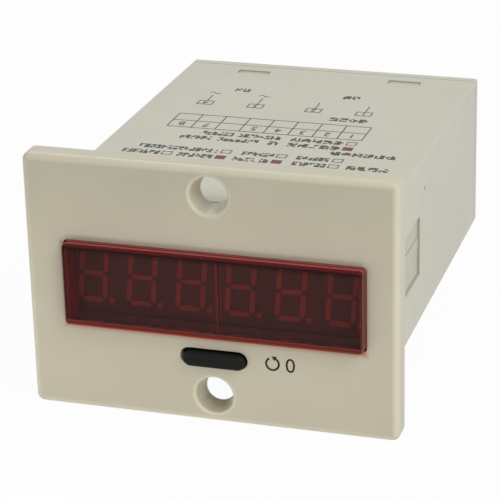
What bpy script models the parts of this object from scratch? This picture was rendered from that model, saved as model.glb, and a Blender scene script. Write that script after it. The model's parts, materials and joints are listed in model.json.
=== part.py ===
"""Panel counter with a six-digit window, a reset button and a terminal strip at the back.

Metres, +Z up. The front face looks along -Y and the case runs back along +Y.
Inside this script y = 0 is the bezel's front face and z = 0 the bezel's mid height.
The empty `counter_frame` then puts the world origin under the middle of the whole counter.
"""
from math import cos, pi, radians, sin, tan

import bmesh
import bpy
from mathutils import Matrix

# Clearances, and the hair left between two rounds that would meet
SEAT_GAP = 0.0003
SEAM_GAP = 0.0002
LENS_GAP = 0.00015
EMBED = 0.0005
HAIR = 0.000001

# Case sleeve, a drafted tube behind the bezel: its width, height and depth drive the rest
CASE_WIDTH = 0.0654
CASE_HEIGHT = 0.0338
CASE_DEPTH = 0.0858
CASE_LIFT = 0.0006
CASE_TAPER = 0.0011
CASE_WALL = 0.0015
CASE_CORNER = 0.0006

# Screw holes through the bezel, over and under the case, tapered towards the back
HOLE_RADIUS = 0.0029
HOLE_INSET = 0.0005
HOLE_SPACING = CASE_HEIGHT + 2 * (HOLE_RADIUS + HOLE_INSET)
HOLE_SHIFT = 0.00035
HOLE_RIM = 0.00135
HOLE_LAND = 0.0072
MOUTH_RADIUS = 0.0037
MOUTH_FILLET = 0.0005

# Front bezel
BEZEL_LEDGE = 0.0038
BEZEL_WIDTH = CASE_WIDTH + 2 * BEZEL_LEDGE
BEZEL_HEIGHT = HOLE_SPACING + 2 * (MOUTH_RADIUS + MOUTH_FILLET + HOLE_RIM)
BEZEL_THICK = 0.0045
BEZEL_CORNER = 0.0015
BEZEL_FILLET = 0.0012
BEZEL_RIM = 0.0022
FRONT_WALL = 0.0023

# Skirt of the bezel inside the sleeve, and its snap arms in the sleeve's latch windows
SKIRT_GAP = 0.0004
SKIRT_WALL = 0.0011
SKIRT_LENGTH = 0.0070
SKIRT_INSET = CASE_WALL + SKIRT_GAP + SKIRT_WALL
LATCH_START = 0.0213
LATCH_LENGTH = 0.0125
LATCH_MARGIN = 0.01075
LATCH_HEIGHT = CASE_HEIGHT - 2 * LATCH_MARGIN
LATCH_LIFT = 0.0004
LATCH_RECESS = 0.0004
LATCH_RIB_WIDTH = 0.0022
LATCH_RIB_LIFT = 0.0012
LATCH_RIB_RISE = 0.00015
ARM_SHOULDER = 0.00065
ARM_TAIL = 0.0016

# Red window
LENS_SIDE = 0.0032
LENS_MARGIN = 0.0085
LENS_WIDTH = CASE_WIDTH - 2 * LENS_SIDE
LENS_HEIGHT = CASE_HEIGHT - 2 * LENS_MARGIN
LENS_SHIFT = 0.0008
LENS_LIFT = 0.0006
LENS_PROUD = 0.0022
LENS_FRONT = 0.0012
LENS_WALL = 0.0009
LENS_DRAFT = 0.00015
LENS_CORNER = 0.0008
LENS_FILLET = 0.0005
LENS_TAIL = 0.0034
LENS_LIP_INSET = 0.0055
LENS_LIP_HEIGHT = 0.0012
LENS_LIP_THICK = 0.0009

# Reset button, in a slot that leaves more room at its left end
BUTTON_LENGTH = 0.0122
BUTTON_HEIGHT = 0.0030
BUTTON_SHIFT = 0.0008
BUTTON_PROUD = 0.0015
BUTTON_INSET = 0.0044
BUTTON_DROP = CASE_HEIGHT / 2 - BUTTON_INSET
BUTTON_FILLET = 0.0005
SLOT_LENGTH = 0.0134
SLOT_HEIGHT = 0.0037
SLOT_SHIFT = 0.0005
BUTTON_TRAVEL = 0.0006
BUTTON_LIP = 0.0008
BUTTON_LIP_THICK = 0.0010
STEM_RADIUS = 0.0012
STEM_RISE = 0.0004

# Display: the digits fill the window, in two modules between the skirt's walls
DIGIT_COUNT = 6
DIGIT_PITCH = LENS_WIDTH / DIGIT_COUNT
DIGIT_SPACE = 0.00395
DIGIT_WIDTH = DIGIT_PITCH - DIGIT_SPACE
DIGIT_MARGIN = 0.0024
DIGIT_HEIGHT = LENS_HEIGHT - 2 * DIGIT_MARGIN
DIGIT_SLANT = radians(5)
DIGIT_SHIFT = -0.00045
SEGMENT_WIDTH = 0.0010
SEGMENT_GAP = 0.00025
SEGMENT_RISE = 0.00015
POINT_SIZE = 0.0010
MODULE_SHIFT = 0.00065
MODULE_LIFT = 0.0012
MODULE_WIDTH = CASE_WIDTH / 2 - SKIRT_INSET - MODULE_SHIFT - SEAT_GAP / 2 - SEAM_GAP
MODULE_HEIGHT = LENS_HEIGHT - 2 * SEAM_GAP
MODULE_DEPTH = 0.0072
MODULE_FACE = 0.0040

# Rear cover and its hooks
COVER_THICK = 0.0024
COVER_WALL = 0.0013
COVER_LENGTH = 0.0110
COVER_CHAMFER = 0.0004
HOOK_SPACING = 0.0338
HOOK_SHIFT = 0.0005
HOOK_WIDTH = 0.0071
HOOK_SLOT = 0.0021
HOOK_BACK = 0.0066

# Places along the case, worked out from the sizes above
CASE_START = BEZEL_THICK + SEAM_GAP
CASE_END = BEZEL_THICK + CASE_DEPTH
SLEEVE_END = CASE_END - COVER_THICK - SEAM_GAP
COVER_START = CASE_END - COVER_THICK - COVER_LENGTH
FRONT_MOST = -max(BUTTON_PROUD, LENS_PROUD)

# Circuit boards
BOARD_THICK = 0.0016
BOARD_SPACING = 0.0022
BOARD_INSET = 0.0062
BOARD_END_GAP = 0.0026
DISPLAY_BOARD_WIDTH = CASE_WIDTH - 2 * (SKIRT_INSET + SEAT_GAP)
DISPLAY_BOARD_HEIGHT = CASE_HEIGHT - 2 * (SKIRT_INSET + SEAT_GAP)
DISPLAY_BOARD_Y = MODULE_FACE + MODULE_DEPTH + SEAT_GAP
MAIN_BOARD_WIDTH = CASE_WIDTH - CASE_TAPER - 2 * CASE_WALL - 3 * SEAT_GAP
MAIN_BOARD_Y = DISPLAY_BOARD_Y + BOARD_THICK + BOARD_SPACING
MAIN_BOARD_LENGTH = COVER_START - BOARD_END_GAP - MAIN_BOARD_Y
MAIN_BOARD_DROP = CASE_HEIGHT / 2 - BOARD_INSET
BOARD_SEAT = BOARD_THICK / 2 - MAIN_BOARD_DROP + SEAT_GAP
HEADROOM = CASE_LIFT + (CASE_HEIGHT - CASE_TAPER) / 2 - CASE_WALL - BOARD_SEAT
RAIL_SIZE = 0.0012
RAIL_REACH = 0.0023
RAIL_INSET = 0.0025
POST_RADIUS = 0.0020
POST_INSET_X = 0.0026
POST_INSET_Z = 0.0021
POST_X = DISPLAY_BOARD_WIDTH / 2 - POST_INSET_X
POST_Z = DISPLAY_BOARD_HEIGHT / 2 - POST_INSET_Z
BOARD_SCREW_RADIUS = 0.0008
BOARD_SCREW_LENGTH = 0.0055
BOARD_SCREW_HEAD = 0.0018
BOARD_SCREW_HEAD_THICK = 0.0012
HEADER_PINS = 10
PIN_PITCH = 0.00254
PIN_SIZE = 0.0006

# Reset switch on the display board
SWITCH_WIDTH = 0.0060
SWITCH_HEIGHT = 0.0035
SWITCH_DEPTH = 0.0032
PLUNGER_GAP = 0.00025

# Terminal strip
TERMINAL_COUNT = 4
TERMINAL_PITCH = 0.0100
BARRIER = 0.0014
STRIP_HEIGHT = 0.0140
STRIP_DEPTH = 0.0140
BAY_DEPTH = 0.0100
STRIP_SET_BACK = 0.0005
TAG_THICK = 0.0008
CLAMP_SIZE = 0.0064
CLAMP_THICK = 0.0010
SCREW_HEAD_RADIUS = 0.0028
SCREW_HEAD_HEIGHT = 0.0022
SCREW_RADIUS = 0.0015
SCREW_LENGTH = 0.0070
SCREW_SLOT = 0.0008
TERMINAL_PIN_RADIUS = 0.0005
TERMINAL_PIN_DROP = 0.0035
TERMINAL_PIN_REACH = 0.0032

# Counting circuit at the front of the main board, in two rows of chips behind the header
BOX_CORNER = 0.0005
PART_GAP = 0.0005
CHIP_WIDTH = 0.0064
CHIP_THICK = 0.0033
CHIP_LEG_REACH = 0.0007
CHIP_LEG_WIDTH = 0.0005
CHIP_LEG_THICK = 0.0003
CHIP_STANDOFF = 0.0005
CHIP_REACH = CHIP_WIDTH / 2 + CHIP_LEG_REACH
CRYSTAL = (0.0110, 0.0044, 0.0035)
RESISTOR_COUNT = 3
RESISTOR_RADIUS = 0.0012
RESISTOR_LENGTH = 0.0064
RESISTOR_SPAN = 0.0100
RESISTOR_LEAD = 0.0003
RESISTOR_STEP = 2 * RESISTOR_RADIUS + PART_GAP
BIG_CHIP_Y = MAIN_BOARD_Y + PIN_SIZE + PIN_PITCH + PART_GAP + CHIP_REACH
SECOND_ROW_Y = BIG_CHIP_Y + CHIP_REACH + PART_GAP
CIRCUIT_END = SECOND_ROW_Y + RESISTOR_COUNT * RESISTOR_STEP

# The power supply fills the rest of the main board, up to the pins of the terminal strip.
# Its parts lie on a grid: columns from the middle of the board, and rows from the circuit's end.
BOARD_COLUMNS = 60
COLUMN = MAIN_BOARD_WIDTH / BOARD_COLUMNS
POWER_ROWS = 31
PIN_ROOM = 0.0025
ROW = (MAIN_BOARD_Y + MAIN_BOARD_LENGTH - PIN_ROOM - CIRCUIT_END) / POWER_ROWS

# Transformer: a laminated core, its bobbin and the winding
CORE_STACK = 0.0140
CORE_LENGTH = 26 * ROW
CORE_CLEARANCE = 0.0030
CORE_HEIGHT = HEADROOM - CORE_CLEARANCE
CORE_LEG = CORE_LENGTH / 6
BOBBIN_WALL = 0.0008
BOBBIN_REACH = 0.0050
WINDING_INSET = 0.0004
WINDING_CORNER = 0.0015

# Other parts of the power supply
CAPACITOR_CLEARANCE = 0.0070
SMALL_CLEARANCE = 0.0140
BIG_CAPACITOR = (4 * ROW, HEADROOM - CAPACITOR_CLEARANCE)
SMALL_CAPACITOR = (3 * ROW, HEADROOM - SMALL_CLEARANCE)
FILM_CAPACITOR = (0.0050, 11 * ROW, HEADROOM - SMALL_CLEARANCE)
RECTIFIER = (4 * ROW, 0.0055)
REGULATOR_LEG = 0.0030
REGULATOR_WIDTH = 0.0100
REGULATOR_TAB = (REGULATOR_WIDTH, ROW, HEADROOM * 5 / 8)
REGULATOR_BODY = (REGULATOR_WIDTH, 4 * ROW, REGULATOR_TAB[2] * 7 / 12)

FINISHES = {
    "cream_plastic": ((0.62, 0.58, 0.47), 0.45, 0.0),
    "red_lens": ((0.35, 0.02, 0.02), 0.10, 0.0),
    "black_plastic": ((0.02, 0.02, 0.02), 0.45, 0.0),
    "display_face": ((0.05, 0.045, 0.045), 0.55, 0.0),
    "board_green": ((0.03, 0.17, 0.08), 0.45, 0.0),
    "plated_metal": ((0.72, 0.71, 0.68), 0.30, 1.0),
    "core_steel": ((0.28, 0.28, 0.30), 0.50, 1.0),
    "copper_wire": ((0.55, 0.22, 0.09), 0.40, 1.0),
    "bobbin_plastic": ((0.60, 0.57, 0.50), 0.50, 0.0),
    "capacitor_sleeve": ((0.03, 0.05, 0.16), 0.35, 0.0),
    "film_box": ((0.55, 0.42, 0.06), 0.40, 0.0),
}


def clear_scene():
    """Remove whatever the scene already holds."""
    for old in list(bpy.data.objects):
        bpy.data.objects.remove(old, do_unlink=True)


def new_collection(name):
    """Make a collection under the scene's own."""
    collection = bpy.data.collections.new(name)
    bpy.context.scene.collection.children.link(collection)
    return collection


def finish_material(finish):
    """Give the material of this finish, made once."""
    material = bpy.data.materials.get(finish)
    if material is None:
        colour, roughness, metallic = FINISHES[finish]
        material = bpy.data.materials.new(finish)
        material.use_nodes = True
        shader = material.node_tree.nodes["Principled BSDF"]
        shader.inputs["Base Color"].default_value = (*colour, 1.0)
        shader.inputs["Roughness"].default_value = roughness
        shader.inputs["Metallic"].default_value = metallic
    return material


clear_scene()
PARTS = new_collection("panel_counter")
CUTTERS = new_collection("cutters")
FRAME = bpy.data.objects.new("counter_frame", None)
FRAME.location = (0.0, -(FRONT_MOST + CASE_END) / 2, BEZEL_HEIGHT / 2)
PARTS.objects.link(FRAME)


def add_object(name, mesh, finish=None, at=(0.0, 0.0, 0.0)):
    """Place a mesh as a part, or as a hidden cutter where it has no finish."""
    obj = bpy.data.objects.new(name, mesh)
    obj.location = at
    obj.parent = FRAME
    if finish is None:
        CUTTERS.objects.link(obj)
        obj.display_type = "WIRE"
        obj.hide_render = True
    else:
        PARTS.objects.link(obj)
        mesh.materials.append(finish_material(finish))
        mesh.shade_smooth()
        mesh.set_sharp_from_angle(angle=radians(30))
    return obj


def mesh_from(name, bm):
    """Turn a bmesh into mesh data."""
    mesh = bpy.data.meshes.new(name)
    bm.to_mesh(mesh)
    bm.free()
    return mesh


def edges_along(bm, axis):
    """Edges that run along one axis, drafted ones too."""
    found = []
    for edge in bm.edges:
        run = edge.verts[1].co - edge.verts[0].co
        if abs(run[axis]) > 0.9 * run.length:
            found.append(edge)
    return found


def edges_at(bm, axis, place):
    """Edges that lie in the plane where this axis has this value."""
    return [e for e in bm.edges if all(abs(v.co[axis] - place) < 1e-7 for v in e.verts)]


def round_edges(bm, edges, radius, steps):
    """Round the given edges of a bmesh."""
    bmesh.ops.bevel(bm, geom=edges, offset=radius, segments=steps, profile=0.5, affect="EDGES")


def box_bm(size):
    """Box centred on its own origin."""
    bm = bmesh.new()
    bmesh.ops.create_cube(bm, size=1.0)
    bmesh.ops.scale(bm, vec=size, verts=bm.verts)
    return bm


def box(name, size, at, finish=None, corner=0.0, axis=1):
    """Box with its edges along one axis rounded."""
    bm = box_bm(size)
    if corner > 0.0:
        round_edges(bm, edges_along(bm, axis), corner, 4)
    return add_object(name, mesh_from(name, bm), finish, at)


def rod(name, radius, length, at, finish=None, axis="Y", sides=32):
    """Round bar along one axis."""
    bm = bmesh.new()
    bmesh.ops.create_cone(bm, cap_ends=True, segments=sides, radius1=radius, radius2=radius, depth=length)
    if axis != "Z":
        turn = Matrix.Rotation(radians(90), 4, "X" if axis == "Y" else "Y")
        bmesh.ops.transform(bm, matrix=turn, verts=bm.verts)
    return add_object(name, mesh_from(name, bm), finish, at)


def turned(name, profile, at, finish=None, along="Z", sides=32):
    """Turned solid: (radius, height) points from the top down, spun round the axis.

    Along "Z" the top looks up, along "Y" it looks forward, out of the counter's front,
    and along "-Y" it looks out of the back.
    """
    bm = bmesh.new()
    points = [bm.verts.new((radius, 0.0, height)) for radius, height in profile]
    for upper, lower in zip(points, points[1:]):
        bm.edges.new((upper, lower))
    obj = add_object(name, mesh_from(name, bm), finish, at)
    obj.rotation_euler = (radians({"Z": 0, "Y": 90, "-Y": -90}[along]), 0.0, 0.0)
    screw = obj.modifiers.new("turn", "SCREW")
    screw.axis = "Z"
    screw.steps = sides
    screw.render_steps = sides
    screw.use_merge_vertices = True
    screw.merge_threshold = 1e-5
    screw.use_smooth_shade = finish is not None
    return obj


def arc(centre_r, centre_h, radius, start, stop, steps):
    """Points on an arc in the (radius, height) plane of a turned profile."""
    turns = [start + (stop - start) * i / steps for i in range(steps + 1)]
    return [(centre_r + radius * cos(a), centre_h + radius * sin(a)) for a in turns]


def combine(obj, tool, operation):
    """Cut or fuse another object with this one."""
    step = obj.modifiers.new(f"{operation.lower()} {tool.name}", "BOOLEAN")
    step.operation = operation
    step.solver = "EXACT"
    step.object = tool


def cut(obj, *tools):
    """Take the tools' shapes away from an object."""
    for tool in tools:
        combine(obj, tool, "DIFFERENCE")


def fuse(obj, *tools):
    """Join the tools' shapes to an object."""
    for tool in tools:
        combine(obj, tool, "UNION")


def case_width(y, inset=0.0):
    """Outer width of the drafted case at y, less an inset on each side."""
    return CASE_WIDTH - CASE_TAPER * (y - BEZEL_THICK) / CASE_DEPTH - 2 * inset


def case_height(y, inset=0.0):
    """Outer height of the drafted case at y, less an inset on each side."""
    return CASE_HEIGHT - CASE_TAPER * (y - BEZEL_THICK) / CASE_DEPTH - 2 * inset


def drafted_block(name, start, end, inset, corner, finish=None, end_chamfer=0.0):
    """Block that follows the case's draft from start to end, in by an inset all round."""
    bm = box_bm((1.0, 1.0, 1.0))
    for vert in bm.verts:
        y = start if vert.co.y < 0 else end
        vert.co.x *= case_width(y, inset)
        vert.co.z *= case_height(y, inset)
        vert.co.y = y
    round_edges(bm, edges_along(bm, 1), corner, 3)
    if end_chamfer > 0.0:
        round_edges(bm, edges_at(bm, 1, end), end_chamfer, 1)
    return add_object(name, mesh_from(name, bm), finish, (0.0, 0.0, CASE_LIFT))


def stadium(name, length, height, start, end, at_x, at_z, finish=None, front_fillet=0.0):
    """Bar with round ends, long in X, running back from start to end."""
    bm = box_bm((length, end - start, height))
    round_edges(bm, edges_along(bm, 1), height / 2 - HAIR, 8)
    if front_fillet > 0.0:
        round_edges(bm, edges_at(bm, 1, -(end - start) / 2), front_fillet, 3)
    return add_object(name, mesh_from(name, bm), finish, (at_x, (start + end) / 2, at_z))


def span_box(name, x_span, y_span, z_span, finish=None, corner=0.0, axis=1):
    """Box given by its limits on each axis."""
    spans = (x_span, y_span, z_span)
    size = [high - low for low, high in spans]
    middle = [(high + low) / 2 for low, high in spans]
    return box(name, size, middle, finish, corner, axis)


def make_case_sleeve():
    """Four-walled tube with latch windows, hook slots and rails for the main board."""
    sleeve = drafted_block("case_sleeve", CASE_START, SLEEVE_END, 0.0, CASE_CORNER, "cream_plastic")
    bore_start = CASE_START - CASE_WALL
    bore_end = SLEEVE_END + CASE_WALL
    cut(sleeve, drafted_block("sleeve_bore", bore_start, bore_end, CASE_WALL, CASE_CORNER / 2))
    latch_span = (LATCH_START, LATCH_START + LATCH_LENGTH)
    latch_z = (LATCH_LIFT - LATCH_HEIGHT / 2, LATCH_LIFT + LATCH_HEIGHT / 2)
    cut(sleeve, span_box("latch_windows", (-CASE_WIDTH, CASE_WIDTH), latch_span, latch_z))
    slot_y = CASE_END - HOOK_BACK
    slot_span = (slot_y - HOOK_SLOT / 2, slot_y + HOOK_SLOT / 2)
    for side in (-1, 1):
        x = HOOK_SHIFT + side * HOOK_SPACING / 2
        reach = (CASE_LIFT - CASE_HEIGHT, CASE_LIFT + CASE_HEIGHT)
        x_span = (x - HOOK_WIDTH / 2, x + HOOK_WIDTH / 2)
        cut(sleeve, span_box(f"hook_slots_{side}", x_span, slot_span, reach))
    rail_span = (MAIN_BOARD_Y + RAIL_INSET, MAIN_BOARD_Y + MAIN_BOARD_LENGTH)
    for side in (-1, 1):
        inner = case_width(rail_span[1], CASE_WALL) / 2
        rail_x = sorted((side * (inner - RAIL_REACH), side * (inner + CASE_WALL / 2)))
        for level in (-1, 1):
            near = level * (BOARD_THICK / 2 + SEAT_GAP) - MAIN_BOARD_DROP
            rail_z = sorted((near, near + level * RAIL_SIZE))
            fuse(sleeve, span_box(f"rail_{side}_{level}", rail_x, rail_span, rail_z))


def make_screw_hole_cutter(name, z):
    """Tapered hole with a small fillet at its mouth."""
    profile = [(0.0, EMBED), (MOUTH_RADIUS + MOUTH_FILLET, EMBED)]
    profile += arc(MOUTH_RADIUS + MOUTH_FILLET, -MOUTH_FILLET, MOUTH_FILLET, pi / 2, pi, 4)
    profile += [(HOLE_RADIUS, -BEZEL_THICK)]
    profile += [(HOLE_RADIUS, -BEZEL_THICK - EMBED), (0.0, -BEZEL_THICK - EMBED)]
    return turned(name, profile, (HOLE_SHIFT, 0.0, z), along="Y", sides=48)


def make_front_bezel():
    """Plate with the window, button slot and screw holes, a skirt and two snap arms."""
    bm = box_bm((BEZEL_WIDTH, BEZEL_THICK, BEZEL_HEIGHT))
    round_edges(bm, edges_along(bm, 1), BEZEL_CORNER, 4)
    round_edges(bm, edges_at(bm, 1, -BEZEL_THICK / 2), BEZEL_FILLET, 4)
    bezel = add_object("front_bezel", mesh_from("front_bezel", bm), "cream_plastic",
                       (0.0, BEZEL_THICK / 2, 0.0))

    skirt_end = BEZEL_THICK + SKIRT_LENGTH
    inner_width = CASE_WIDTH / 2 - SKIRT_INSET
    inner_height = CASE_HEIGHT / 2 - SKIRT_INSET
    half_width = inner_width + SKIRT_WALL
    half_height = inner_height + SKIRT_WALL
    pocket_z = (CASE_LIFT - inner_height, CASE_LIFT + inner_height)
    fuse(bezel, span_box("skirt", (-half_width, half_width), (BEZEL_THICK - EMBED, skirt_end),
                         (CASE_LIFT - half_height, CASE_LIFT + half_height), corner=CASE_CORNER))

    arm_end = LATCH_START + LATCH_LENGTH + ARM_TAIL
    arm_half = LATCH_HEIGHT / 2 + ARM_SHOULDER
    arm_z = (LATCH_LIFT - arm_half, LATCH_LIFT + arm_half)
    tab_y = (LATCH_START + SEAT_GAP, LATCH_START + LATCH_LENGTH - SEAT_GAP)
    tab_z = (LATCH_LIFT - LATCH_HEIGHT / 2 + SEAT_GAP, LATCH_LIFT + LATCH_HEIGHT / 2 - SEAT_GAP)
    rib_z = (LATCH_RIB_LIFT - LATCH_RIB_WIDTH / 2, LATCH_RIB_LIFT + LATCH_RIB_WIDTH / 2)
    rib_sink = LATCH_RECESS - LATCH_RIB_RISE
    latch_face = case_width(tab_y[1]) / 2
    for side in (-1, 1):
        arm_x = sorted((side * inner_width, side * half_width))
        tab_x = sorted((side * (half_width - EMBED), side * (latch_face - LATCH_RECESS)))
        rib_x = sorted((side * (half_width - EMBED), side * (latch_face - rib_sink)))
        fuse(bezel, span_box(f"arm_{side}", arm_x, (skirt_end - EMBED, arm_end), arm_z))
        fuse(bezel, span_box(f"tab_{side}", tab_x, tab_y, tab_z))
        fuse(bezel, span_box(f"rib_{side}", rib_x, (tab_y[0] + SEAT_GAP, tab_y[1] - SEAT_GAP), rib_z))

    cut(bezel, span_box("skirt_bore", (-inner_width, inner_width),
                        (FRONT_WALL, skirt_end + EMBED), pocket_z))
    board_face = DISPLAY_BOARD_Y - SEAT_GAP
    for side in (-1, 1):
        for level in (-1, 1):
            at = (side * POST_X, (FRONT_WALL + board_face - EMBED) / 2, CASE_LIFT + level * POST_Z)
            length = board_face - FRONT_WALL + EMBED
            fuse(bezel, rod(f"post_{side}_{level}", POST_RADIUS, length, at, sides=20))
            at = (at[0], board_face, at[2])
            cut(bezel, rod(f"post_bore_{side}_{level}", BOARD_SCREW_RADIUS + SEAT_GAP,
                           2 * (BOARD_SCREW_LENGTH - BOARD_THICK), at, sides=16))

    window_x = LENS_WIDTH / 2 + LENS_GAP
    window_z = LENS_HEIGHT / 2 + LENS_GAP
    cut(bezel, span_box("window", (LENS_SHIFT - window_x, LENS_SHIFT + window_x),
                        (-EMBED, LENS_TAIL + SEAT_GAP),
                        (LENS_LIFT - window_z, LENS_LIFT + window_z), corner=LENS_CORNER))
    cut(bezel, stadium("button_slot", SLOT_LENGTH, SLOT_HEIGHT, -EMBED, FRONT_WALL + EMBED,
                       SLOT_SHIFT, -BUTTON_DROP))
    relief_x = SLOT_LENGTH / 2 + BUTTON_LIP + SEAT_GAP
    relief_z = SLOT_HEIGHT / 2 + BUTTON_LIP + SEAT_GAP
    cut(bezel, span_box("button_relief", (SLOT_SHIFT - relief_x, SLOT_SHIFT + relief_x),
                        (FRONT_WALL, skirt_end + EMBED),
                        (-BUTTON_DROP - relief_z, -BUTTON_DROP + relief_z)))
    for level in (-1, 1):
        cut(bezel, make_screw_hole_cutter(f"screw_hole_{level}", level * HOLE_SPACING / 2))
        core_z = sorted((level * (CASE_HEIGHT / 2 + BEZEL_RIM), level * (BEZEL_HEIGHT / 2 - BEZEL_RIM)))
        for side in (-1, 1):
            core_x = sorted((HOLE_SHIFT + side * HOLE_LAND, side * (BEZEL_WIDTH / 2 - BEZEL_RIM)))
            cut(bezel, span_box(f"core_{level}_{side}", core_x, (FRONT_WALL, BEZEL_THICK + EMBED),
                                core_z, corner=CASE_CORNER))


def make_lens():
    """Hollow red window with drafted, rounded front and a lip above and below."""
    depth = LENS_PROUD + LENS_TAIL
    bm = box_bm((LENS_WIDTH, depth, LENS_HEIGHT))
    for vert in bm.verts:
        if vert.co.y < 0:
            vert.co.x -= LENS_DRAFT if vert.co.x > 0 else -LENS_DRAFT
            vert.co.z -= LENS_DRAFT if vert.co.z > 0 else -LENS_DRAFT
    round_edges(bm, edges_along(bm, 1), LENS_CORNER, 4)
    round_edges(bm, edges_at(bm, 1, -depth / 2), LENS_FILLET, 3)
    middle = (LENS_SHIFT, (LENS_TAIL - LENS_PROUD) / 2, LENS_LIFT)
    lens = add_object("lens", mesh_from("lens", bm), "red_lens", middle)
    for level in (-1, 1):
        near = level * (LENS_HEIGHT / 2 - EMBED) + LENS_LIFT
        far = level * (LENS_HEIGHT / 2 + LENS_LIP_HEIGHT) + LENS_LIFT
        lip_half = LENS_WIDTH / 2 - LENS_LIP_INSET
        lip_x = (LENS_SHIFT - lip_half, LENS_SHIFT + lip_half)
        lip_y = (FRONT_WALL + SEAM_GAP, FRONT_WALL + SEAM_GAP + LENS_LIP_THICK)
        fuse(lens, span_box(f"lens_lip_{level}", lip_x, lip_y, sorted((near, far))))
    inset = LENS_WALL + LENS_DRAFT
    cavity = (LENS_WIDTH - 2 * inset, depth, LENS_HEIGHT - 2 * inset)
    cut(lens, box("lens_cavity", cavity, (LENS_SHIFT, middle[1] + LENS_FRONT, LENS_LIFT),
                  corner=LENS_CORNER / 2))


def make_reset_button():
    """Button cap with a retaining lip and a stem that pushes the switch."""
    lip_start = FRONT_WALL + SEAT_GAP
    lip_end = lip_start + BUTTON_LIP_THICK
    button = stadium("reset_button", BUTTON_LENGTH, BUTTON_HEIGHT, -BUTTON_PROUD, lip_start + EMBED,
                     BUTTON_SHIFT, -BUTTON_DROP, "black_plastic", BUTTON_FILLET)
    fuse(button, stadium("button_lip", SLOT_LENGTH + 2 * BUTTON_LIP, SLOT_HEIGHT + 2 * BUTTON_LIP,
                         lip_start, lip_end, SLOT_SHIFT, -BUTTON_DROP))
    stem_end = DISPLAY_BOARD_Y - SEAT_GAP - SWITCH_DEPTH - BUTTON_TRAVEL - 2 * SEAT_GAP
    stem_length = stem_end - lip_end + EMBED
    at = (BUTTON_SHIFT, stem_end - stem_length / 2, -BUTTON_DROP + STEM_RISE)
    fuse(button, rod("button_stem", STEM_RADIUS, stem_length, at, sides=20))
    return stem_end


def make_reset_switch(stem_end):
    """Switch body on the display board, with a plunger that goes in with the button."""
    z = -BUTTON_DROP + STEM_RISE
    body_end = DISPLAY_BOARD_Y - SEAT_GAP
    body_start = body_end - SWITCH_DEPTH
    body = box("reset_switch", (SWITCH_WIDTH, SWITCH_DEPTH, SWITCH_HEIGHT),
               (BUTTON_SHIFT, (body_start + body_end) / 2, z), "black_plastic", corner=BOX_CORNER)
    plunger_start = stem_end + SEAT_GAP
    plunger_end = body_start + SWITCH_DEPTH / 2
    bore_end = plunger_end + BUTTON_TRAVEL + SEAT_GAP
    cut(body, rod("plunger_bore", STEM_RADIUS + PLUNGER_GAP, bore_end - body_start + EMBED,
                  (BUTTON_SHIFT, (bore_end + body_start - EMBED) / 2, z), sides=24))
    rod("switch_plunger", STEM_RADIUS, plunger_end - plunger_start,
        (BUTTON_SHIFT, (plunger_start + plunger_end) / 2, z), "plated_metal", sides=24)


def segment_bars():
    """Centre, length and direction of a digit's seven bars, upright, about its centre."""
    half_w = (DIGIT_WIDTH - SEGMENT_WIDTH) / 2
    half_h = (DIGIT_HEIGHT - SEGMENT_WIDTH) / 2
    bars = [(0.0, level * half_h, 2 * half_w, "across") for level in (-1, 0, 1)]
    for side in (-1, 1):
        for level in (-1, 1):
            bars.append((side * half_w, level * half_h / 2, half_h, "up"))
    return bars


def bar_outline(x, z, length, direction):
    """Six points of a pointed display bar."""
    half = length / 2 - SEGMENT_GAP
    flank = SEGMENT_WIDTH / 2
    along = [(-half, 0), (-half + flank, flank), (half - flank, flank),
             (half, 0), (half - flank, -flank), (-half + flank, -flank)]
    if direction == "up":
        along = [(-v, u) for u, v in along]
    return [(x + u, z + v) for u, v in along]


def point_outline():
    """Decimal point at the lower right of a digit."""
    x = DIGIT_WIDTH / 2 + POINT_SIZE
    z = -(DIGIT_HEIGHT - SEGMENT_WIDTH) / 2
    half = POINT_SIZE / 2
    return [(x - half, z - half), (x - half, z + half), (x + half, z + half), (x + half, z - half)]


def add_prism(bm, outline, start, end, axis="Y"):
    """Extrude an outline, in the XZ plane for axis Y or the YZ plane for axis X."""
    if axis == "Y":
        rim = [bm.verts.new((across, start, up)) for across, up in outline]
        move = (0.0, end - start, 0.0)
    else:
        rim = [bm.verts.new((start, across, up)) for across, up in outline]
        move = (end - start, 0.0, 0.0)
    moved = bmesh.ops.extrude_face_region(bm, geom=[bm.faces.new(rim)])
    verts = [item for item in moved["geom"] if isinstance(item, bmesh.types.BMVert)]
    bmesh.ops.translate(bm, vec=move, verts=verts)


def make_display_modules():
    """Two three-digit modules whose bars stand slightly proud of their faces."""
    per_module = DIGIT_COUNT // 2
    for side, label in ((-1, "left"), (1, "right")):
        centre_x = MODULE_SHIFT + side * (MODULE_WIDTH + SEAT_GAP) / 2
        digits_x = MODULE_SHIFT + side * per_module * DIGIT_PITCH / 2 + DIGIT_SHIFT
        module = box(f"display_module_{label}", (MODULE_WIDTH, MODULE_DEPTH, MODULE_HEIGHT),
                     (centre_x, MODULE_FACE + MODULE_DEPTH / 2, MODULE_LIFT), "display_face")
        bm = bmesh.new()
        for digit in range(per_module):
            digit_x = (digit - (per_module - 1) / 2) * DIGIT_PITCH
            outlines = [bar_outline(*bar) for bar in segment_bars()] + [point_outline()]
            for outline in outlines:
                slanted = [(digit_x + x + z * tan(DIGIT_SLANT), z) for x, z in outline]
                add_prism(bm, slanted, MODULE_FACE - SEGMENT_RISE, MODULE_FACE + EMBED)
        bmesh.ops.recalc_face_normals(bm, faces=bm.faces)
        name = f"bars_{label}"
        fuse(module, add_object(name, mesh_from(name, bm), None, (digits_x, 0.0, MODULE_LIFT)))


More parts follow.
